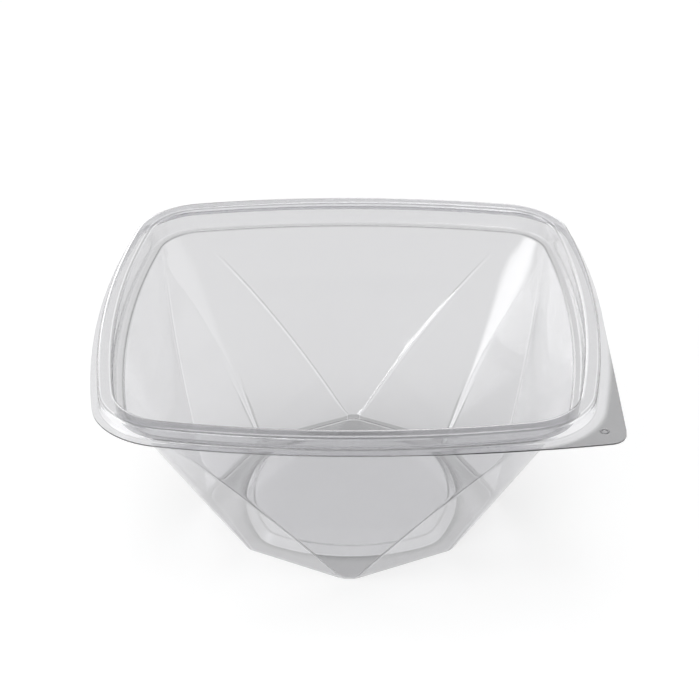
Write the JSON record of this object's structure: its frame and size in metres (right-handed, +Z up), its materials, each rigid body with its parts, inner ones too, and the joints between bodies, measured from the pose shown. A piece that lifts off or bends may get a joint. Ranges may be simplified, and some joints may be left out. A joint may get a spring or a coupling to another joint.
{
  "type": "plastic salad bowl",
  "caption": "Clear square thin-walled salad bowl with faceted sloping walls, lid ledge, rim bead and corner pull tab.",
  "frame": {"origin": "middle of the standing ring, in the plane that the bowl stands on", "axes": "+Z up through the mouth, +X and -Y towards the two sides beside the corner that carries the pull tab, -Y towards the viewer of the picture"},
  "size_m": [0.1857, 0.185, 0.084],
  "materials": {
    "clear_plastic": "clear, high gloss"
  },
  "bodies": {
    "root": {"bowl": "clear_plastic"}
  },
  "joints": []
}
